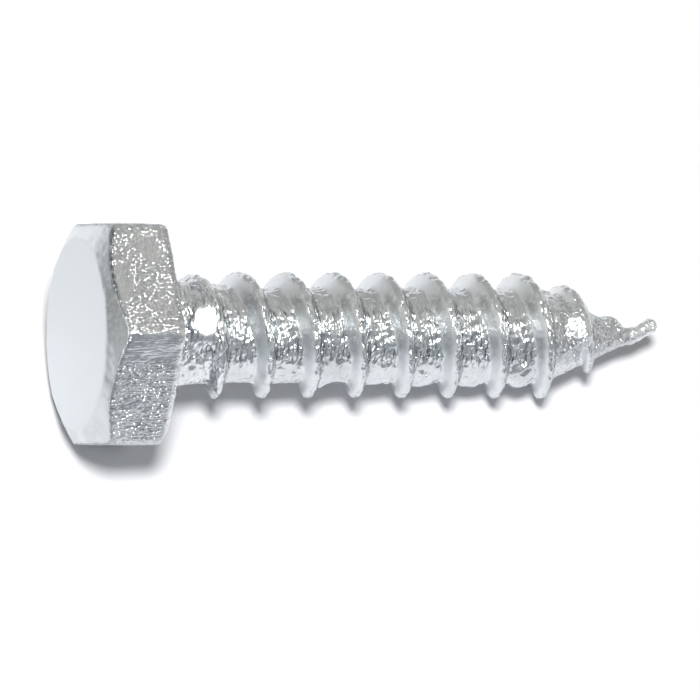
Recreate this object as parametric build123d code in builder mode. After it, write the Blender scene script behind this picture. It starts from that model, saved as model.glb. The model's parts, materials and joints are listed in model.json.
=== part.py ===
from build123d import *

import os
from math import asin, atan2, cos, hypot, pi, radians, sin, sqrt, tan

os.makedirs("parts", exist_ok=True)

# A hot-dip galvanised lag screw, 1/4 in by 1 in with ten threads to the inch, in millimetres.
# It lies as it comes to rest on a surface at Z = 0, its point toward +X: the edge of the head's
# lower flat and the underside of the thread near the point both touch the surface. The origin is
# on that surface, under the middle of the screw.

# Hex head
across_flats = 11.2
head_height = 3.92
head_corner_radius = 0.25
chamfer_circle_diameter = 9.9
chamfer_angle = 32
chamfer_crown = 0.02
seat_edge_radius = 0.2

# Shank and point: the length is from the bearing face to the end of the forged point
length = 25.3
root_diameter = 4.8
neck_fill = 0.65
point_length = 4.0
point_diameter = 1.3

# Thread: right-handed, rising out of the shank and fading into the drip. Angles about the screw's
# axis are from straight up, turning toward -Y.
crest_diameter = 6.44
pitch = 2.54
thread_angle = 60
crest_width = 0.46
crest_drop_share = 0.08
thread_start = 1.2
thread_start_angle = 159
thread_run_in = 1.6
thread_overrun = 0.9
rooting_share = 0.15
burial_share = 0.04
sections_per_turn = 12

# Drip of zinc that froze on the point, bent to one side, with a bead at its end
drip_length = 2.05
drip_straight = 0.6
drip_bend = 0.58
drip_bend_angle = -59
drip_radius = 0.33
bead_radius = 0.34
drip_sections = 5

root_radius = root_diameter / 2
thread_height = (crest_diameter - root_diameter) / 2
point_radius = point_diameter / 2
taper_start = length - point_length
thread_end = length + thread_overrun


def root_radius_at(z):
    """The shank's bare radius z beyond the bearing face: straight, coned on the point, then the drip."""
    along = max(z - taper_start, 0) / point_length
    return max(root_radius + (point_radius - root_radius) * along, drip_radius)


def crest_radius_at(z):
    """The thread's outer radius: it rises out of the shank, runs full, then shrinks on the point."""
    buried = root_radius_at(z) * (1 - burial_share)
    rise = sin(pi / 2 * min((z - thread_start) / thread_run_in, 1))
    fade = 1 - max((z - taper_start) / (thread_end - taper_start), 0) ** 2
    return buried + (thread_height + root_radius_at(z) - buried) * rise * fade


def tilt_onto(z):
    """How far the screw tips for the underside's crest at z to reach the floor under the head's edge."""
    drop = across_flats / 2 - seat_edge_radius - crest_radius_at(z)
    reach = z + seat_edge_radius
    return atan2(drop, reach) + asin(seat_edge_radius / hypot(drop, reach))


# The screw tips until the first crest on its underside meets the floor.
underside = thread_start + pitch * ((180 - thread_start_angle) % 360) / 360
full_turns = int((length - underside) / pitch)
tilt = min(tilt_onto(underside + pitch * turn) for turn in range(1, full_turns + 1))

# The bearing face's centre, placed so that the origin is at the middle of the whole screw's length.
head_reach = head_height * cos(tilt) + chamfer_circle_diameter / 2 * sin(tilt)
point_reach = (length + drip_length) * cos(tilt) + bead_radius
edge_drop = (across_flats / 2 - seat_edge_radius) * cos(tilt) - seat_edge_radius * sin(tilt)
bearing = Plane(
    origin=((head_reach - point_reach) / 2, 0, edge_drop + seat_edge_radius),
    x_dir=(sin(tilt), 0, cos(tilt)),
    z_dir=(cos(tilt), 0, -sin(tilt)),
)
screw_axis = Axis(bearing.origin, bearing.z_dir)


def axial_plane(z, angle):
    """A plane holding the screw's axis: its origin z beyond the bearing face, x outward, y along."""
    return bearing.moved(Location((0, 0, z), (0, 0, angle))).moved(Plane.XZ)


def thread_section(z):
    """The thread's axial section: a blunt crest between two flanks, rooted inside the shank."""
    angle = thread_start_angle + 360 * (z - thread_start) / pitch
    crest = crest_radius_at(z)
    rooted = root_radius_at(z + pitch / 4) * (1 - rooting_share)
    shoulder = crest - (crest - rooted) * crest_drop_share
    half_root = crest_width / 2 + (shoulder - rooted) * tan(radians(thread_angle / 2))
    with BuildSketch(axial_plane(z, angle)) as section:
        with BuildLine():
            Polyline(
                (rooted, -half_root),
                (shoulder, -crest_width / 2),
                (crest, 0),
                (shoulder, crest_width / 2),
                (rooted, half_root),
                close=True,
            )
        make_face()
    return section.sketch


with BuildPart() as lag_screw:
    # The hex head has one flat facing up and one facing down. Its top slice is cut round by the
    # chamfer, which is slightly crowned, as forging leaves it.
    top_radius = chamfer_circle_diameter / 2
    corner_radius = across_flats / sqrt(3)
    chamfer_drop = (corner_radius - top_radius) * tan(radians(chamfer_angle))
    top = bearing.offset(-head_height)
    with BuildSketch(top) as hexagon:
        RegularPolygon(across_flats / 2, 6, major_radius=False, rotation=30)
        fillet(hexagon.vertices(), head_corner_radius)
    extrude(amount=chamfer_drop)
    for share, swell in ((0, 0), (0.5, chamfer_crown), (1, 0)):
        with BuildSketch(top.offset(chamfer_drop * share)):
            Circle(top_radius + (corner_radius - top_radius) * share + swell)
    loft(mode=Mode.INTERSECT)
    with BuildSketch(top.offset(chamfer_drop)):
        add(hexagon.sketch_local)
    extrude(amount=head_height - chamfer_drop)
    fillet(lag_screw.edges().group_by(screw_axis)[-1], seat_edge_radius)

    # The shank runs from the zinc that fills the corner under the head to the cone of the point.
    with BuildSketch(axial_plane(0, 0)):
        with BuildLine():
            Polyline(
                (0, 0),
                (root_radius + neck_fill, 0),
                (root_radius, neck_fill),
                (root_radius, taper_start),
                (point_radius, length),
                (0, length),
                close=True,
            )
        make_face()
    revolve(axis=screw_axis)

    # The thread is lofted a turn at a time through sections set round its helix.
    steps = round((thread_end - thread_start) / pitch * sections_per_turn)
    stations = [thread_start + (thread_end - thread_start) * step / steps for step in range(steps + 1)]
    for first in range(0, steps, sections_per_turn):
        loft([thread_section(z) for z in stations[first : first + sections_per_turn + 1]])

    # The drip thins as it leaves the point and runs straight, then curves aside to its bead.
    with BuildLine(axial_plane(length, drip_bend_angle)) as drip_path:
        Line((0, 0), (0, drip_straight))
        TangentArc((0, drip_straight), (drip_bend, drip_length), tangent=(0, 1))
    for section in range(drip_sections):
        along = section / (drip_sections - 1)
        with BuildSketch(Plane(drip_path.line ^ along)):
            Circle(drip_radius + (point_radius - drip_radius) * (1 - along) ** 2)
    loft()
    with Locations(drip_path.line @ 1):
        Sphere(bead_radius)

lag_screw.part.label = "lag_screw"
export_step(lag_screw.part, "parts/lag_screw.step")
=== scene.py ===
# A hot-dip galvanised lag screw lying on a white table, dressed round its CAD part.

import json
from math import cos, radians, sin

import bpy
import numpy as np
from mathutils import Matrix, Vector


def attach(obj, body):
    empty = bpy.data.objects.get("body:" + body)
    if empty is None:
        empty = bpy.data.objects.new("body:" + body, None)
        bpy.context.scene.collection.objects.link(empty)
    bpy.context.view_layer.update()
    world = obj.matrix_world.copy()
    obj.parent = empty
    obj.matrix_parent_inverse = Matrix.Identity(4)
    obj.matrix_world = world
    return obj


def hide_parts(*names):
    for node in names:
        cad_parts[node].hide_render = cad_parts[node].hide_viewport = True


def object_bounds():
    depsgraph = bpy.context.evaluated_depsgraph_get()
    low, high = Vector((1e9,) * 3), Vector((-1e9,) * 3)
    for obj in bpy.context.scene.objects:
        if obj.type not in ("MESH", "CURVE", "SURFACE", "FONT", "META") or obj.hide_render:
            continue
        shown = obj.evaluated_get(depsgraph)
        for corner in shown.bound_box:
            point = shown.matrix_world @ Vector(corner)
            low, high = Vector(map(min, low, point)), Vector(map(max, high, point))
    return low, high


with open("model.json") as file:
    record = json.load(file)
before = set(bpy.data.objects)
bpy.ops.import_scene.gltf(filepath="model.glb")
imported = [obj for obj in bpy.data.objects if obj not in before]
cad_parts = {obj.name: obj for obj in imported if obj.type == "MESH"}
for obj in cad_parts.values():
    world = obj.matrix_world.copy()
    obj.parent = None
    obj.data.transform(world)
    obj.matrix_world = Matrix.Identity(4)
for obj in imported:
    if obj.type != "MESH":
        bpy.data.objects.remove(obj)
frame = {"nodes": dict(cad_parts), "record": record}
cad_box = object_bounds()

MM = 0.001

# The screw's own directions, from the record's mounts: along its axis toward the point, straight up
# off the upper flat, and aside. The screw is shaped with its axis along X and the middle of its
# bearing face at the origin, in millimetres. A place on it is given by how far beyond the bearing
# face it is, and its angle about the axis in degrees, from upward and turning toward aside.
mounts = {mount["name"]: mount for mount in frame["record"]["mounts"]}
seat = Vector(mounts["bearing_face"]["pos_m"]) / MM
along = Vector(mounts["bearing_face"]["axis"]).normalized()
upward = Vector(mounts["wrench_flat_top"]["axis"]).normalized()
aside = along.cross(upward)
level = Matrix((along, upward, aside)).to_4x4()

# The screw's sizes, as its CAD part has them
ACROSS_FLATS = 11.2
HEAD_HEIGHT = 3.92
CHAMFER_RADIUS = 4.95
CHAMFER_SLOPE = 0.625
LENGTH = 25.3
ROOT_RADIUS = 2.4
POINT_RADIUS = 0.65
POINT_LENGTH = 4.0
TAPER_START = LENGTH - POINT_LENGTH
DRIP_RADIUS = 0.33
DRIP_LENGTH = 2.05
DRIP_ANGLE = -59
THREAD_HEIGHT = 0.82
PITCH = 2.54
THREAD_START = 1.2
THREAD_START_ANGLE = 159
THREAD_RUN_IN = 1.6
THREAD_BURIAL = 0.1
THREAD_END = LENGTH + 0.9
FLANK_SLOPE = 1.732

# How the zinc rounds it: a dome over each crest, a fillet along each root, the corner that it fills
# under the head, and the side on which it lies thickest on the flanks
CREST_ROUNDING = 0.42
CREST_POWER = 2.6
CREST_LEAN = 0.25
CREST_LEAN_REACH = 0.14
ROOT_FILLET = 0.3
NECK_FILL = 0.55
NECK_FILL_REACH = 0.75
FLANK_FILL_ANGLE = -59

# The mesh's spacing: fine enough for the zinc's lumps, and coarse enough to keep the screw under
# 200,000 triangles
VOXEL = 0.109

# Zinc that ran and froze in lumps and hollows: how far beyond the bearing face, angle, reach along
# and around, height, and the lean of its length from the axis in degrees. The two that lean are the
# crevice on the seventh root and the tongue of zinc beside it.
LUMPS = [
    (1.2, -32, 1.2, 1.9, 0.48, 0),
    (3.2, -62, 0.7, 1.2, 0.22, 0),
    (1.4, 120, 1.2, 1.6, 0.2, 0),
    (9.15, 118, 0.3, 0.6, 0.3, 0),
    (14.6, 121, 0.6, 0.9, 0.2, 0),
    (17.3, 121, 0.6, 0.9, 0.22, 0),
    (19.9, 108, 0.5, 0.8, 0.28, 0),
    (19.55, 73, 0.55, 0.17, 0.38, -51),
    (19.85, 79, 0.5, 0.14, -0.22, -51),
    (14.3, 85, 0.16, 0.16, 0.26, 0),
    (21.9, 25, 0.85, 1.6, 0.3, 0),
    (6.3, 121, 0.9, 0.9, 0.1, 0),
    (11.8, 121, 0.7, 0.9, 0.1, 0),
]
# Smooth slopes of zinc that run up onto a turn of the thread, on the neck and on the last root: how
# far beyond the bearing face, angle, reach along, radius at the middle, and rise per millimetre
NECK_RUN = (2.12, 16, 0.88, 2.9, 0.3)
LAST_RUN = (22.45, 18.5, 0.8, 2.32, 0.3)
RUN_REACH_AROUND = 27


def to_linear(code):
    """An sRGB hex colour as the linear colour that Blender's nodes take."""
    parts = [int(code[i : i + 2], 16) / 255 for i in (0, 2, 4)]
    return [p / 12.92 if p <= 0.04045 else ((p + 0.055) / 1.055) ** 2.4 for p in parts] + [1.0]


def add_node(tree, kind, inputs=(), output=0, **settings):
    """Adds a node with its settings, links or sets its inputs, and gives the output that is wanted."""
    node = tree.nodes.new(kind)
    for name, value in settings.items():
        setattr(node, name, value)
    for name, value in dict(inputs).items():
        if isinstance(value, bpy.types.NodeSocket):
            tree.links.new(value, node.inputs[name])
        else:
            node.inputs[name].default_value = value
    return node.outputs[output] if node.outputs else None


def only(obj):
    """Selects one object alone and makes it active."""
    bpy.ops.object.select_all(action="DESELECT")
    obj.select_set(True)
    bpy.context.view_layer.objects.active = obj


def finish_with(obj, kind, **settings):
    """Adds a modifier with its settings and applies it."""
    only(obj)
    modifier = obj.modifiers.new(kind.lower(), kind)
    for name, value in settings.items():
        setattr(modifier, name, value)
    bpy.ops.object.modifier_apply(modifier=modifier.name)


def read(obj, what):
    """The mesh's vertex positions or normals as rows."""
    values = np.empty(len(obj.data.vertices) * 3)
    obj.data.vertices.foreach_get(what, values)
    return values.reshape(-1, 3)


def places(obj):
    """How far each vertex is beyond the bearing face and from the axis, and its angle."""
    co = read(obj, "co")
    return co[:, 0], np.hypot(co[:, 1], co[:, 2]), np.degrees(np.arctan2(co[:, 2], co[:, 1]))


def move(obj, positions):
    """Puts the mesh's vertices at new positions."""
    obj.data.vertices.foreach_set("co", positions.ravel())
    obj.data.update()


def ramp(values, low, high):
    """0 below low, 1 above high, smooth between."""
    x = np.clip((values - low) / (high - low), 0, 1)
    return x * x * (3 - 2 * x)


# ---------------------------------------------------------------- the zinc-coated screw
def copy_of_cad(node):
    """A copy of a CAD node's mesh with its doubles merged, in millimetres, its axis along X."""
    piece = bpy.data.objects.new("lag_screw_zinc", frame["nodes"][node].data.copy())
    bpy.context.collection.objects.link(piece)
    piece.data.materials.clear()
    piece.data.transform(Matrix.Scale(1 / MM, 4))
    piece.data.transform(Matrix.Translation(-seat))
    piece.data.transform(level)
    only(piece)
    bpy.ops.object.mode_set(mode="EDIT")
    bpy.ops.mesh.select_all(action="SELECT")
    bpy.ops.mesh.remove_doubles(threshold=0.001)
    bpy.ops.object.mode_set(mode="OBJECT")
    return piece


def on_run(t, angle, run):
    """How far a place lies on a smooth run of zinc."""
    middle, turned, reach = run[:3]
    away = np.hypot((t - middle) / reach, (angle - turned) / RUN_REACH_AROUND)
    return 1 - ramp(away, 0.45, 1.35)


def root_radius(t):
    """The shank's bare radius t mm beyond the bearing face: straight, coned, then the drip."""
    cone = ROOT_RADIUS + (POINT_RADIUS - ROOT_RADIUS) * np.clip(t - TAPER_START, 0, None) / POINT_LENGTH
    return np.maximum(cone, DRIP_RADIUS)


def thread_radius(t, angle):
    """The coated thread's and shank's radius t mm beyond the bearing face, at that angle."""
    first = THREAD_START + PITCH * (angle - THREAD_START_ANGLE) / 360
    station = first + PITCH * np.round((t - first) / PITCH)
    rise = np.sin(np.pi / 2 * np.clip((station - THREAD_START) / THREAD_RUN_IN, 0, 1))
    fade = 1 - np.clip((station - TAPER_START) / (THREAD_END - TAPER_START), 0, 1) ** 2
    crest = root_radius(station) - THREAD_BURIAL + (THREAD_HEIGHT + THREAD_BURIAL) * rise * fade

    # each crest is a dome that leans to the point, on flanks made gentler by the zinc
    slope = FLANK_SLOPE * (1.22 - 0.32 * np.cos(np.radians(angle - FLANK_FILL_ANGLE)))
    beside = slope * np.abs(t - station)
    dome = (CREST_ROUNDING**CREST_POWER + beside**CREST_POWER) ** (1 / CREST_POWER)
    ridge = crest + CREST_ROUNDING - dome
    ridge = ridge + CREST_LEAN * np.clip(t - station, -CREST_LEAN_REACH, CREST_LEAN_REACH)

    floor = root_radius(t) + NECK_FILL * np.clip(1 - t / NECK_FILL_REACH, 0, 1) ** 1.5
    for there, turned, reach_along, reach_around, height, lean in LUMPS:
        dt = t - there
        ds = np.radians((angle - turned + 180) % 360 - 180) * floor
        c, s = cos(radians(lean)), sin(radians(lean))
        spread = ((dt * c + ds * s) / reach_along) ** 2 + ((ds * c - dt * s) / reach_around) ** 2
        floor = floor + height * np.exp(-spread)

    near = np.clip(ROOT_FILLET - np.abs(ridge - floor), 0, None) / ROOT_FILLET
    skin = np.maximum(ridge, floor) + near * near * ROOT_FILLET / 4
    for run in (NECK_RUN, LAST_RUN):
        middle, turned, _, radius, climb = run
        share = on_run(t, angle, run)
        flatter = np.cos(np.radians(np.clip(angle - turned, -30, 30))) ** 0.75
        skin = skin * (1 - share) + (radius + climb * (t - middle)) / flatter * share
    return skin


def true_thread(piece):
    """Moves the shank's and thread's skin onto its true round form, with the zinc on it. The remesh
    alone leaves steps along the helix, and the operators can't follow it."""
    co = read(piece, "co")
    t, radius, angle = places(piece)
    share = ramp(t, 0.15, 0.5) * (1 - ramp(t, 24.9, 25.4))
    factor = 1 + share * (thread_radius(t, angle) / np.maximum(radius, 0.01) - 1)
    co[:, 1] *= factor
    co[:, 2] *= factor
    move(piece, co)


def swell(piece, t, radius, angle, reach, height):
    """Raises the skin round one point by height mm, or sinks it, fading over reach mm."""
    middle = np.array([t, radius * cos(radians(angle)), radius * sin(radians(angle))])
    co = read(piece, "co")
    far = ((co - middle) ** 2).sum(axis=1) / reach**2
    move(piece, co + read(piece, "normal") * (height * np.exp(-far))[:, None])


def weigh(piece, name, values):
    """A vertex group that holds a weight for each vertex."""
    group = piece.vertex_groups.new(name=name)
    for index, value in enumerate(values):
        group.add([index], float(value), "REPLACE")


def relief(piece, name, grain, height, group, stretch=1.0):
    """Raises and sinks the zinc by a soft noise whose lumps are grain mm across."""
    texture = bpy.data.textures.new(name, "CLOUDS")
    texture.noise_scale = grain
    texture.noise_depth = 1
    texture.noise_basis = "IMPROVED_PERLIN"
    bpy.ops.object.empty_add()
    squeeze = bpy.context.object
    squeeze.scale = (stretch, 1, 1)
    bpy.context.view_layer.update()
    finish_with(
        piece, "DISPLACE", texture=texture, texture_coords="OBJECT", texture_coords_object=squeeze,
        mid_level=0.5, strength=height, vertex_group=group,
    )
    bpy.data.objects.remove(squeeze)


def regions(piece):
    """How far each vertex belongs to the head, its top face, chamfer and flats, and to the flanks
    of the thread that face the head."""
    t = read(piece, "co")[:, 0]
    normal = read(piece, "normal")
    head = 1 - ramp(t, -0.15, 0.1)
    top_face = ramp(-normal[:, 0], 0.93, 0.97) * (t < -HEAD_HEIGHT / 2)
    chamfer = head * ramp(-normal[:, 0], 0.5, 0.7) * (1 - top_face)
    flats = head * (1 - top_face) * (1 - chamfer)
    head_side = (1 - head) * ramp(-normal[:, 0], 0.45, 0.7)
    return head, top_face, chamfer, flats, head_side


screw = copy_of_cad("lag_screw")
finish_with(screw, "REMESH", mode="VOXEL", voxel_size=VOXEL, use_smooth_shade=True)
true_thread(screw)
weigh(screw, "even", 1 - 0.85 * ramp(read(screw, "co")[:, 0], 24.5, 25.5))
finish_with(screw, "SMOOTH", factor=0.5, iterations=3, vertex_group="even")

# zinc rounds the edges between the flats, and the edge round the bearing face
t, radius, angle = places(screw)
corner = ramp(np.cos(np.radians((np.abs(angle) - 30) * 6)), 0.85, 0.97) * (radius > 5)
rim = ramp(t, -0.8, -0.3) * (radius > 4.6)
weigh(screw, "edges", np.clip(corner + rim, 0, 1) * (t > -HEAD_HEIGHT + 0.8))
finish_with(screw, "SMOOTH", factor=0.5, iterations=28, vertex_group="edges")

# the corner of the bearing face that it left rounder, and the bead at the end of the drip
swell(screw, 0, 6.4, 90, 0.5, -0.22)
swell(screw, LENGTH + DRIP_LENGTH, 0.58, DRIP_ANGLE, 0.45, 0.11)

head, top_face, chamfer, flats, head_side = regions(screw)
t, _, angle = places(screw)
bulge = on_run(t, angle, NECK_RUN)
smooth_zinc = np.clip(top_face + chamfer * 0.85 + flats * 0.5 + head_side * 0.9 + bulge, 0, 1)
weigh(screw, "rough", 1 - smooth_zinc)
weigh(screw, "shank", (1 - head) * (1 - np.clip(head_side * 0.95 + bulge, 0, 1)))
weigh(screw, "head", head * (1 - top_face))
relief(screw, "zinc lumps", 0.6, 0.22, "shank", stretch=0.7)
relief(screw, "zinc pimples", 0.28, 0.2, "rough")
relief(screw, "forged unevenness", 1.1, 0.14, "head")

only(screw)
bpy.ops.object.shade_smooth()
for group in list(screw.vertex_groups):
    screw.vertex_groups.remove(group)


def finish_of(piece):
    """How each place on the screw is finished, as shares for its material to read."""
    head, top_face, chamfer, flats, head_side = regions(piece)
    t, radius, angle = places(piece)
    sideways = read(piece, "co")[:, 2]
    turned = np.abs(angle)
    turn = (t - THREAD_START) / PITCH - (angle - THREAD_START_ANGLE) / 360

    # the neck, which is the first turn, with its far side and the thread's first tooth on it
    neck = 1 - ramp(t + turned / 120, 3.6, 4.6)
    hump = neck * (1 - ramp(angle, -25, 0))
    tooth = neck * ramp(angle, 60, 75) * ramp(t, 1.8, 2.1)
    # the shank's near side short of the point, the band low on it, the last turn, and the point
    # from its last crest to the drip
    short_of_point = 1 - ramp(t, 22.8, 23.4)
    near_side = ramp(angle, -12, 2) * (1 - ramp(angle, 56, 74)) * short_of_point
    below = ramp(angle, 28, 40) * (1 - ramp(angle, 60, 74))
    last_turn = ramp(turn, 8.1, 8.2)
    point = ramp(t, 23.2, 23.8)
    # the flats beside the upper one, trimmed along the axis up to the rounded edge of the bearing
    # face: clean lines on their upper third, and droplets over the lines on the rest
    beside_upper = flats * ramp(turned, 29, 31) * (1 - ramp(turned, 149, 151))
    rounded = beside_upper * ramp(t, -0.42, -0.28)
    trimmed = beside_upper - rounded
    lined = 1 - ramp(turned, 42, 48)

    # where the zinc froze smooth
    calm = top_face + chamfer * 0.7 + head_side * (1 - neck) * 0.85 + 0.6 * ramp(t, 26, 26.5)
    calm += 0.75 * (on_run(t, angle, NECK_RUN) ** 4 + 0.4 * on_run(t, angle, LAST_RUN) ** 2)

    # where it is drawn paler: partly paler zinc on the flats, least on the trimmed ones, and painted
    # highlight on the chamfer's upper side, the rounded rim of the bearing face, the head-facing flanks
    # (less low on their near side), the neck with its first tooth and far side, the last turn, the point and
    # the drip
    pale = 0.45 * (flats * (1 - trimmed * (0.9 + 0.1 * lined)) + 1.6 * chamfer * (1 - ramp(angle, -35, -10)))
    pale += 0.7 * head_side * (1 - neck) * (1 - 0.6 * ramp(angle, 50, 80)) + 0.5 * rounded
    pale += (1 - head) * neck * (0.3 + 0.5 * below + 0.7 * tooth + 0.7 * hump)
    pale += 0.6 * ramp(turn, 8.1, 8.3) * short_of_point
    pale += 0.3 * ramp(t, 22.8, 23.6) + 0.6 * ramp(t, 24.4, 25)

    # where frozen droplets and crystals stand: most on the trimmed flats, the neck, the point and
    # the shank's near side, and least on the lined thirds and on two spots of the upper flat
    shank = 0.3 - 0.1 * ramp(angle, 68, 80) + 0.5 * near_side + 0.15 * neck * (1 - ramp(angle, 50, 75))
    shank += 0.25 * ramp(t, 20.5, 22) * short_of_point + 0.5 * point
    shank = np.clip(shank, 0, 1) + 0.4 * below * (1 - 0.7 * neck) + 0.45 * tooth + 0.4 * hump
    shank += 0.45 * point + 0.3 * ramp(t, 24.6, 25)
    on_head = 0.68 - 0.3 * rounded - trimmed * (0.56 * lined - 0.22 * (1 - lined))
    sparkle = (1 - head) * shank + head * on_head
    for there, across, reach_along, reach_across in ((-1.3, -1.7, 0.6, 0.8), (-3.1, 0.3, 0.5, 1.1)):
        away = ((t - there) / reach_along) ** 2 + ((sideways - across) / reach_across) ** 2
        sparkle -= 0.55 * flats * np.exp(-away) * (turned < 30)

    # where it is darkened in specks: a dark line along the chamfer's edge on the flats, the end of the upper
    # flat, a little on the trimmed flats and the thread's upper flanks, and painted shade on the chamfer
    # toward the near corner
    out = np.max([np.cos(np.radians(angle - 60 * side)) for side in range(6)], axis=0) * radius
    off_chamfer = (radius - CHAMFER_RADIUS) * CHAMFER_SLOPE - (t + HEAD_HEIGHT)
    dark_marks_and_shade = np.exp(-(((ACROSS_FLATS / 2 - out) / 0.13) ** 2 + (off_chamfer / 0.13) ** 2))
    dark_marks_and_shade *= 0.3 + 0.7 * (1 - ramp(angle, 5, 20)) * (turned < 32)
    dark_marks_and_shade += 0.14 * trimmed + 0.35 * flats * ramp(t, -0.5, -0.3) * (1 - ramp(t, -0.15, 0)) * (turned < 28)
    dark_marks_and_shade += 0.42 * head_side * (1 - neck) * np.exp(-(((angle + 8) / 13) ** 2))
    dark_marks_and_shade = np.maximum(dark_marks_and_shade, 0.35 * chamfer * np.exp(-(((angle - 12) / 24) ** 2)))

    return {
        "wiped": top_face,
        "calm": np.clip(calm, 0, 1),
        "pale": np.clip(pale, 0, 1),
        "even_grain": flats + last_turn,
        "trimmed": trimmed * (lined + (1 - lined) * 0.8),
        "sparkle": sparkle,
        "dark_marks_and_shade": dark_marks_and_shade,
    }


for name, values in finish_of(screw).items():
    layer = screw.data.attributes.new(name, "FLOAT", "POINT")
    layer.data.foreach_set("value", np.asarray(values, dtype=np.float32))

# back to where the part lies; zinc that stands past the part's own box is pressed back to it
screw.data.transform(level.inverted())
screw.data.transform(Matrix.Translation(seat))
screw.data.transform(Matrix.Scale(MM, 4))
move(screw, np.clip(read(screw, "co"), np.array(cad_box[0]), np.array(cad_box[1])))


# ---------------------------------------------------------------- materials
# Sizes of the zinc's patterns in millimetres. Its frozen droplets, their clusters, and the clouds
# and specks in its colour are about as large as real ones. Its crystals and the lines of the
# trimming are a few hundredths of a millimetre wide, too fine to show, so they are drawn as coarse
# as here.
DROPLET = 0.23
CLUSTER = 1.1
CLOUD = 1.4
SPECK = 0.25
CRYSTAL = 0.2
TRIM_LINE = 0.09


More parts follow.
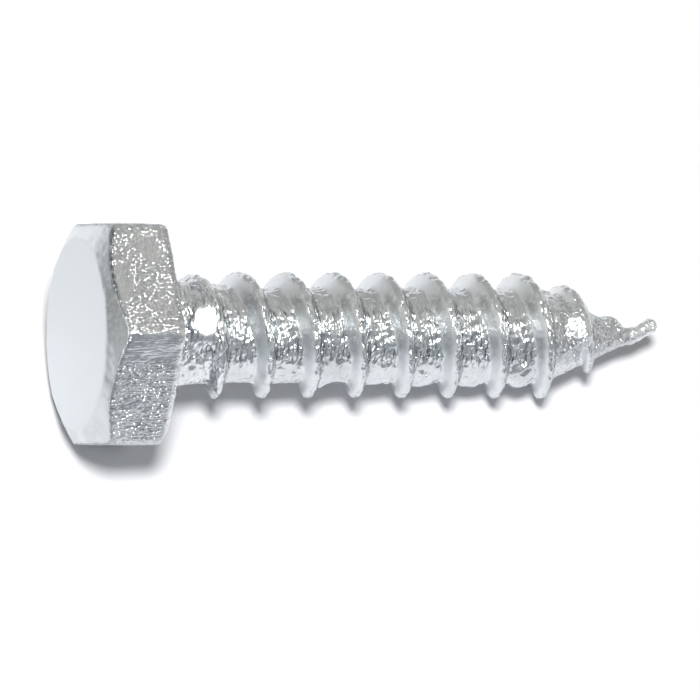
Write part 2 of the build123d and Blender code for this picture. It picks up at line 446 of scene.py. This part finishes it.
def hot_dip_galvanised():
    """Hot-dip galvanised steel: a thick coat of zinc, frozen in lumps and droplets, wiped smooth on
    the head's top. It gives the eye a pale blue-grey metal that glints white off every bump."""
    material = bpy.data.materials.new("hot_dip_galvanised_zinc")
    material.use_nodes = True
    tree = material.node_tree
    tree.nodes.clear()
    wiped, calm, pale, even_grain, trimmed, sparkle, dark_marks_and_shade = [
        add_node(tree, "ShaderNodeAttribute", output="Fac", attribute_name=name)
        for name in ("wiped", "calm", "pale", "even_grain", "trimmed", "sparkle", "dark_marks_and_shade")
    ]

    # places on the screw in millimetres, its axis along X; the zinc drained round the shank, so
    # its grain is drawn out round the axis there, and on the trimmed flats along it
    place = add_node(tree, "ShaderNodeTexCoord", output="Object")
    own = add_node(
        tree, "ShaderNodeMapping", {"Vector": place, "Rotation": level.to_euler(), "Scale": (1 / MM,) * 3}
    )
    drained = add_node(tree, "ShaderNodeMapping", {"Vector": own, "Scale": (1.15, 0.48, 0.48)})
    even = add_node(tree, "ShaderNodeMapping", {"Vector": own, "Scale": (1.3, 1.4, 1.4)})
    grain = add_node(
        tree, "ShaderNodeMix", {0: even_grain, 4: drained, 5: even}, output=1, data_type="VECTOR"
    )
    drawn_out = add_node(tree, "ShaderNodeMapping", {"Vector": own, "Scale": (0.14, 1.0, 1.0)})

    # frozen droplets: a round dome in each cell, in clusters
    cell = add_node(
        tree, "ShaderNodeTexVoronoi", {"Vector": grain, "Scale": 1 / DROPLET, "Randomness": 1.0},
        output="Distance", feature="F1",
    )
    squared = add_node(tree, "ShaderNodeMath", {0: cell, 1: cell}, operation="MULTIPLY")
    steepness = add_node(
        tree, "ShaderNodeMapRange", {"Value": even_grain, "To Min": 3.0, "To Max": 4.4},
        interpolation_type="SMOOTHSTEP",
    )
    drop = add_node(tree, "ShaderNodeMath", {0: squared, 1: steepness}, operation="MULTIPLY")
    dome = add_node(tree, "ShaderNodeMath", {0: 1.0, 1: drop}, operation="SUBTRACT")
    lowest = add_node(
        tree, "ShaderNodeMapRange", {"Value": even_grain, "To Min": -1.0, "To Max": 0.0},
        interpolation_type="SMOOTHSTEP",
    )
    droplets = add_node(tree, "ShaderNodeMath", {0: dome, 1: lowest}, operation="MAXIMUM")
    wide = add_node(
        tree, "ShaderNodeTexNoise", {"Vector": own, "Scale": 1 / CLUSTER, "Detail": 2.0}, output="Fac"
    )
    clusters = add_node(
        tree, "ShaderNodeMapRange",
        {"Value": wide, "From Min": 0.36, "From Max": 0.5, "To Min": 0.45, "To Max": 1.0},
        interpolation_type="SMOOTHSTEP",
    )
    clustered = add_node(tree, "ShaderNodeMath", {0: droplets, 1: clusters}, operation="MULTIPLY")
    clustered = add_node(tree, "ShaderNodeMath", {0: clustered, 1: 0.46}, operation="MULTIPLY")

    # fine crystals between them, lower where the zinc is pale
    crystals = add_node(
        tree, "ShaderNodeTexNoise", {"Vector": grain, "Scale": 1 / CRYSTAL, "Detail": 2.0}, output="Fac"
    )
    depth = add_node(
        tree, "ShaderNodeMapRange", {"Value": pale, "From Max": 0.8, "To Min": 0.42, "To Max": 0.26},
        interpolation_type="SMOOTHSTEP",
    )
    crystals = add_node(tree, "ShaderNodeMath", {0: crystals, 1: depth}, operation="MULTIPLY")
    frozen = add_node(tree, "ShaderNodeMath", {0: clustered, 1: crystals}, operation="ADD")

    # lines of the trimming tool along the axis
    lines = add_node(
        tree, "ShaderNodeTexNoise", {"Vector": drawn_out, "Scale": 1 / TRIM_LINE, "Detail": 1.0},
        output="Fac",
    )
    cut = add_node(tree, "ShaderNodeMath", {0: trimmed, 1: 0.32}, operation="MULTIPLY")
    lines = add_node(tree, "ShaderNodeMath", {0: lines, 1: cut}, operation="MULTIPLY")
    height = add_node(tree, "ShaderNodeMath", {0: frozen, 1: sparkle}, operation="MULTIPLY")
    height = add_node(tree, "ShaderNodeMath", {0: height, 1: lines}, operation="ADD")
    strength = add_node(
        tree, "ShaderNodeMapRange", {"Value": calm, "To Min": 1.0, "To Max": 0.02},
        interpolation_type="SMOOTHSTEP",
    )
    bump = add_node(
        tree, "ShaderNodeBump", {"Height": height, "Strength": strength, "Distance": 0.1 * MM}
    )

    # painted shade darkens the hollows between the droplets, most where they sparkle and least on calm or
    # paler zinc; other places are darkened in specks, as dark marks and as painted shade on the chamfer
    # toward the near corner
    hollows = add_node(
        tree, "ShaderNodeMapRange",
        {"Value": frozen, "From Min": 0.12, "From Max": 0.28, "To Min": 1.0, "To Max": 0.0},
        interpolation_type="SMOOTHSTEP",
    )
    open_zinc = add_node(
        tree, "ShaderNodeMapRange", {"Value": calm, "From Max": 0.6, "To Min": 0.45, "To Max": 0.0},
        interpolation_type="SMOOTHSTEP",
    )
    shade_where_not_paler = add_node(
        tree, "ShaderNodeMapRange", {"Value": pale, "From Min": 0.3, "To Min": 1.0, "To Max": 0.5},
        interpolation_type="SMOOTHSTEP",
    )
    painted_pit_shade = hollows
    for share in (open_zinc, sparkle, shade_where_not_paler):
        painted_pit_shade = add_node(tree, "ShaderNodeMath", {0: painted_pit_shade, 1: share}, operation="MULTIPLY")
    speckled = add_node(
        tree, "ShaderNodeTexNoise",
        {"Vector": own, "Scale": 1 / SPECK, "Detail": 3.0, "Roughness": 0.6}, output="Fac",
    )
    speckled = add_node(
        tree, "ShaderNodeMapRange",
        {"Value": speckled, "From Min": 0.36, "From Max": 0.56, "To Min": 0.3, "To Max": 1.0},
        interpolation_type="SMOOTHSTEP",
    )
    dark_specks_and_shade = add_node(tree, "ShaderNodeMath", {0: speckled, 1: dark_marks_and_shade}, operation="MULTIPLY")

    # the zinc's own colour is a little cloudy, and further colours lie over it by their shares
    cloudy = add_node(
        tree, "ShaderNodeTexNoise",
        {"Vector": own, "Scale": 1 / CLOUD, "Detail": 3.0, "Roughness": 0.6}, output="Fac",
    )
    colour = add_node(tree, "ShaderNodeValToRGB", {"Fac": cloudy}, output="Color")
    darker, lighter = colour.node.color_ramp.elements
    darker.position, darker.color = 0.35, to_linear("cfd3d5")
    lighter.position, lighter.color = 0.65, to_linear("dfe3e5")
    # over it lie the wiped top's colour, a paler one that is partly paler zinc and partly painted highlight,
    # the painted shade of the hollows, and dark specks that are partly dark marks and partly painted shade
    for share, over in ((wiped, "d7dcde"), (pale, "eaedef"), (painted_pit_shade, "8c9094"), (dark_specks_and_shade, "5d636c")):
        colour = add_node(
            tree, "ShaderNodeMix", {0: share, 6: colour, 7: to_linear(over)}, output=2, data_type="RGBA"
        )
    roughness = add_node(
        tree, "ShaderNodeMapRange", {"Value": calm, "To Min": 0.18, "To Max": 0.36},
        interpolation_type="SMOOTHSTEP",
    )
    zinc = add_node(
        tree, "ShaderNodeBsdfPrincipled",
        {"Base Color": colour, "Metallic": 1.0, "Roughness": roughness, "Normal": bump},
    )
    add_node(tree, "ShaderNodeOutputMaterial", {"Surface": zinc})
    return material


screw.data.materials.append(hot_dip_galvanised())
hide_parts("lag_screw")
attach(screw, "root")


# ---------------------------------------------------------------- table, light and camera
TABLE_SIZE = 0.6
TABLE_GLOW = 0.06

# The share of the room's light that matt surfaces get, such as the table
ROOM_ON_MATT = 0.37


def white_table():
    """A matt table top with a painted pool of light: white round the screw to the eye and in the metal,
    greyer further off, with the screw's soft shadow.
    """
    material = bpy.data.materials.new("matt_white_table")
    material.use_nodes = True
    tree = material.node_tree
    tree.nodes.clear()
    path = add_node(tree, "ShaderNodeLightPath").node.outputs
    seen = path["Is Camera Ray"]
    for ray in ("Is Glossy Ray", "Is Transmission Ray"):
        seen = add_node(tree, "ShaderNodeMath", {0: seen, 1: path[ray]}, operation="ADD", use_clamp=True)
    lift = add_node(tree, "ShaderNodeMath", {0: seen, 1: TABLE_GLOW}, operation="MULTIPLY")
    shine = add_node(tree, "ShaderNodeEmission", {"Color": to_linear("eaf0ff"), "Strength": lift})

    # a painted pool of light: white round the screw, and greyer further off, so that the metal mirrors both
    place = add_node(tree, "ShaderNodeTexCoord", output="Object")
    place = add_node(tree, "ShaderNodeMapping", {"Vector": place, "Location": (0.005, -0.013, 0)})
    away = add_node(tree, "ShaderNodeVectorMath", {0: place}, output="Value", operation="LENGTH")
    spread = add_node(tree, "ShaderNodeMapRange", {"Value": away, "From Min": 0.034, "From Max": 0.062})
    colour = add_node(tree, "ShaderNodeValToRGB", {"Fac": spread}, output="Color")
    colour.node.color_ramp.interpolation = "EASE"
    near, far = colour.node.color_ramp.elements
    near.color, far.color = to_linear("ececee"), to_linear("b0b2b5")
    matt = add_node(tree, "ShaderNodeBsdfDiffuse", {"Color": colour})
    both = add_node(tree, "ShaderNodeAddShader", {0: matt, 1: shine})
    add_node(tree, "ShaderNodeOutputMaterial", {"Surface": both})
    return material


bpy.ops.object.select_all(action="DESELECT")
bpy.ops.mesh.primitive_plane_add(size=TABLE_SIZE)
table = bpy.context.object
table.name = "table"
table.data.materials.append(white_table())


def studio():
    """A plain grey room, with light walls to the left and right of the table. The metal and the
    camera see all of it, and matt surfaces get only their share of its light."""
    world = bpy.data.worlds.new("studio")
    world.use_nodes = True
    tree = world.node_tree
    tree.nodes.clear()
    toward = add_node(tree, "ShaderNodeTexCoord", output="Generated")
    parts = add_node(tree, "ShaderNodeSeparateXYZ", {"Vector": toward}).node.outputs
    above = add_node(tree, "ShaderNodeMath", {0: parts["Z"], 1: 0.0}, operation="MAXIMUM")
    sideways = add_node(tree, "ShaderNodeMath", {0: parts["X"], 1: parts["X"]}, operation="MULTIPLY")
    walls = above
    for share in (sideways, 2.5):
        walls = add_node(tree, "ShaderNodeMath", {0: walls, 1: share}, operation="MULTIPLY")
    front = add_node(
        tree, "ShaderNodeMapRange", {"Value": parts["Y"], "From Min": -0.6, "From Max": 0.6}
    )
    room = add_node(tree, "ShaderNodeValToRGB", {"Fac": front}, output="Color")
    front_wall, back_wall = room.node.color_ramp.elements
    front_wall.color, back_wall.color = to_linear("a1a6ab"), to_linear("bdbcb9")
    room = add_node(
        tree, "ShaderNodeMix", {0: walls, 6: room, 7: to_linear("e8e5de")}, output=2, data_type="RGBA"
    )
    path = add_node(tree, "ShaderNodeLightPath").node.outputs
    seen = path["Is Camera Ray"]
    for ray in ("Is Glossy Ray", "Is Transmission Ray"):
        seen = add_node(tree, "ShaderNodeMath", {0: seen, 1: path[ray]}, operation="MAXIMUM")
    strength = add_node(tree, "ShaderNodeMath", {0: seen, 1: 1 - ROOM_ON_MATT}, operation="MULTIPLY")
    strength = add_node(tree, "ShaderNodeMath", {0: strength, 1: ROOM_ON_MATT}, operation="ADD")
    sky = add_node(tree, "ShaderNodeBackground", {"Color": room, "Strength": strength})
    add_node(tree, "ShaderNodeOutputWorld", {"Surface": sky})
    return world


bpy.context.scene.world = studio()

# The camera stands half a metre off, in front of the head's upper side. Its turns are in degrees,
# and it aims beside and below a point on the axis under the head, in millimetres.
VIEW_TURN = 30.643
VIEW_BACK = 18.262
VIEW_ROLL = 0.2565
VIEW_DISTANCE = 500
UNDER_HEAD = 0.12
AIM_BESIDE = 10.355
AIM_BELOW = 0.782
LENS = 504.7

facing = upward * cos(radians(VIEW_TURN)) + aside * sin(radians(VIEW_TURN))
rising = upward * sin(radians(VIEW_TURN)) - aside * cos(radians(VIEW_TURN))
from_screw = -along * sin(radians(VIEW_BACK)) + facing * cos(radians(VIEW_BACK))
right = along * cos(radians(VIEW_BACK)) + facing * sin(radians(VIEW_BACK))
camera_x = right * cos(radians(VIEW_ROLL)) + rising * sin(radians(VIEW_ROLL))
camera_y = rising * cos(radians(VIEW_ROLL)) - right * sin(radians(VIEW_ROLL))
head_centre = seat - along * UNDER_HEAD
eye = head_centre + from_screw * VIEW_DISTANCE
aim = head_centre + camera_x * AIM_BESIDE - camera_y * AIM_BELOW
camera_z = (eye - aim).normalized()
camera_x = (camera_x - camera_z * camera_x.dot(camera_z)).normalized()
camera_y = camera_z.cross(camera_x)

lens = bpy.data.cameras.new("camera")
lens.lens = LENS
lens.sensor_width = 36
lens.clip_start = 0.01
lens.clip_end = 10
camera = bpy.data.objects.new("camera", lens)
bpy.context.collection.objects.link(camera)
stand = Matrix((camera_x, camera_y, camera_z)).transposed().to_4x4()
stand.translation = eye * MM
camera.matrix_world = stand
bpy.context.scene.camera = camera

# One soft round lamp, high over the camera's side of the table: its height and its turn from the
# camera's side in degrees, its distance and width in metres, and its power in watts
LAMP_ELEVATION = 73.3
LAMP_TURN = -9.7
LAMP_DISTANCE = 0.8
LAMP_WIDTH = 0.16
LAMP_POWER = 6.4

glow = bpy.data.lights.new("key", "AREA")
glow.shape = "DISK"
glow.size = LAMP_WIDTH
glow.energy = LAMP_POWER
lamp = bpy.data.objects.new("key", glow)
bpy.context.collection.objects.link(lamp)
level_direction = Vector((from_screw.x, from_screw.y, 0)).normalized()
level_direction.rotate(Matrix.Rotation(radians(LAMP_TURN), 3, "Z"))
toward_lamp = level_direction * cos(radians(LAMP_ELEVATION)) + Vector((0, 0, sin(radians(LAMP_ELEVATION))))
lamp.location = toward_lamp * LAMP_DISTANCE
lamp.rotation_euler = toward_lamp.to_track_quat("Z", "Y").to_euler()

bpy.context.scene.view_settings.view_transform = "Standard"
